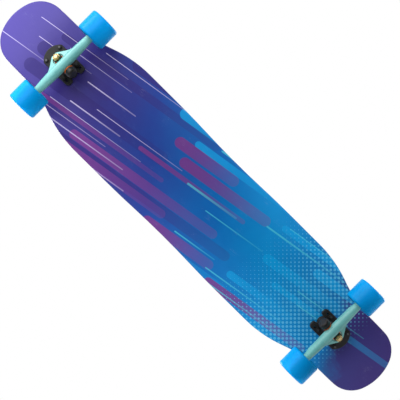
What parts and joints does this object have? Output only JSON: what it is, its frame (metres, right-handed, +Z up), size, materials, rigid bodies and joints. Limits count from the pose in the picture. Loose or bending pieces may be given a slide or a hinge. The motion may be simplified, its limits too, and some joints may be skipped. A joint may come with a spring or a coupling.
{
  "type": "longboard skateboard",
  "caption": "Long double-kick skateboard: printed maple deck, gritty top, lean-steering trucks sprung by urethane bushings, and free-rolling urethane wheels on ball bearings.",
  "frame": {"origin": "on the ground under the deck's centre", "axes": "+X towards the nose, +Y to the rider's left, +Z up"},
  "size_m": [1.1698, 0.261, 0.1357],
  "materials": {
    "printed_maple": "satin lacquer over a print",
    "grip": "gritty",
    "bolt_steel": "dark zinc plated",
    "riser_rubber": "matt",
    "baseplate_black": "satin powder coat",
    "orange_urethane": "slightly translucent",
    "black_hardware": "satin",
    "gold_plate": "yellow zinc plated",
    "mint_paint": "satin powder coat",
    "axle_steel": "bare",
    "bearing_steel": "polished",
    "blue_urethane": "smooth satin",
    "wheel_core": "satin",
    "shield_steel": "pressed",
    "cage_nylon": "moulded"
  },
  "bodies": {
    "deck": {"deck": "printed_maple", "grip_tape": "grip", "deck_bolts": "bolt_steel", "deck_nuts": "black_hardware", "front_riser_pad": "riser_rubber", "front_baseplate": "baseplate_black", "front_pivot_cup": "orange_urethane", "front_kingpin": "gold_plate", "front_boardside_bushing": "orange_urethane", "front_roadside_bushing": "orange_urethane", "front_boardside_washer": "black_hardware", "front_roadside_washer": "black_hardware", "front_kingpin_nut": "gold_plate", "rear_riser_pad": "riser_rubber", "rear_baseplate": "baseplate_black", "rear_pivot_cup": "orange_urethane", "rear_kingpin": "gold_plate", "rear_boardside_bushing": "orange_urethane", "rear_roadside_bushing": "orange_urethane", "rear_boardside_washer": "black_hardware", "rear_roadside_washer": "black_hardware", "rear_kingpin_nut": "gold_plate"},
    "front_hanger": {"front_hanger": "mint_paint", "front_axle": "axle_steel", "front_axle_nuts": "axle_steel", "front_speed_washers": "axle_steel", "front_bearing_spacers": "axle_steel", "front_bearing_inner_rings": "bearing_steel"},
    "front_left_wheel": {"front_left_tyre": "blue_urethane", "front_left_core": "wheel_core", "front_left_outer_rings": "bearing_steel", "front_left_shields": "shield_steel"},
    "front_left_ball_set": {"front_left_balls": "bearing_steel", "front_left_cages": "cage_nylon"},
    "front_right_wheel": {"front_right_tyre": "blue_urethane", "front_right_core": "wheel_core", "front_right_outer_rings": "bearing_steel", "front_right_shields": "shield_steel"},
    "front_right_ball_set": {"front_right_balls": "bearing_steel", "front_right_cages": "cage_nylon"},
    "rear_hanger": {"rear_hanger": "mint_paint", "rear_axle": "axle_steel", "rear_axle_nuts": "axle_steel", "rear_speed_washers": "axle_steel", "rear_bearing_spacers": "axle_steel", "rear_bearing_inner_rings": "bearing_steel"},
    "rear_left_wheel": {"rear_left_tyre": "blue_urethane", "rear_left_core": "wheel_core", "rear_left_outer_rings": "bearing_steel", "rear_left_shields": "shield_steel"},
    "rear_left_ball_set": {"rear_left_balls": "bearing_steel", "rear_left_cages": "cage_nylon"},
    "rear_right_wheel": {"rear_right_tyre": "blue_urethane", "rear_right_core": "wheel_core", "rear_right_outer_rings": "bearing_steel", "rear_right_shields": "shield_steel"},
    "rear_right_ball_set": {"rear_right_balls": "bearing_steel", "rear_right_cages": "cage_nylon"}
  },
  "joints": [
    {"name": "front_steer", "type": "hinge", "parent": "deck", "child": "front_hanger", "pos_m": [0.42569, 0, 0.05503], "axis": [0.866, 0, 0.5], "range_deg": [-18, 18], "stiffness_Nm_per_rad": 60, "deforming": ["front_boardside_bushing", "front_roadside_bushing"]},
    {"name": "front_left_spin", "type": "hinge", "parent": "front_hanger", "child": "front_left_wheel", "pos_m": [0.413, 0, 0.035], "axis": [0, 1, 0], "continuous": true},
    {"name": "front_left_balls_roll", "type": "hinge", "parent": "front_hanger", "child": "front_left_ball_set", "pos_m": [0.413, 0, 0.035], "axis": [0, 1, 0], "continuous": true},
    {"name": "front_right_spin", "type": "hinge", "parent": "front_hanger", "child": "front_right_wheel", "pos_m": [0.413, 0, 0.035], "axis": [0, 1, 0], "continuous": true},
    {"name": "front_right_balls_roll", "type": "hinge", "parent": "front_hanger", "child": "front_right_ball_set", "pos_m": [0.413, 0, 0.035], "axis": [0, 1, 0], "continuous": true},
    {"name": "rear_steer", "type": "hinge", "parent": "deck", "child": "rear_hanger", "pos_m": [-0.42569, 0, 0.05503], "axis": [-0.866, 0, 0.5], "range_deg": [-18, 18], "stiffness_Nm_per_rad": 60, "deforming": ["rear_boardside_bushing", "rear_roadside_bushing"]},
    {"name": "rear_left_spin", "type": "hinge", "parent": "rear_hanger", "child": "rear_left_wheel", "pos_m": [-0.413, 0, 0.035], "axis": [0, 1, 0], "continuous": true},
    {"name": "rear_left_balls_roll", "type": "hinge", "parent": "rear_hanger", "child": "rear_left_ball_set", "pos_m": [-0.413, 0, 0.035], "axis": [0, 1, 0], "continuous": true},
    {"name": "rear_right_spin", "type": "hinge", "parent": "rear_hanger", "child": "rear_right_wheel", "pos_m": [-0.413, 0, 0.035], "axis": [0, 1, 0], "continuous": true},
    {"name": "rear_right_balls_roll", "type": "hinge", "parent": "rear_hanger", "child": "rear_right_ball_set", "pos_m": [-0.413, 0, 0.035], "axis": [0, 1, 0], "continuous": true}
  ],
  "couplings": [
    {"joint": "front_left_balls_roll", "follows": "front_left_spin", "ratio": 0.63233},
    {"joint": "front_right_balls_roll", "follows": "front_right_spin", "ratio": 0.63233},
    {"joint": "rear_left_balls_roll", "follows": "rear_left_spin", "ratio": 0.63233},
    {"joint": "rear_right_balls_roll", "follows": "rear_right_spin", "ratio": 0.63233}
  ]
}
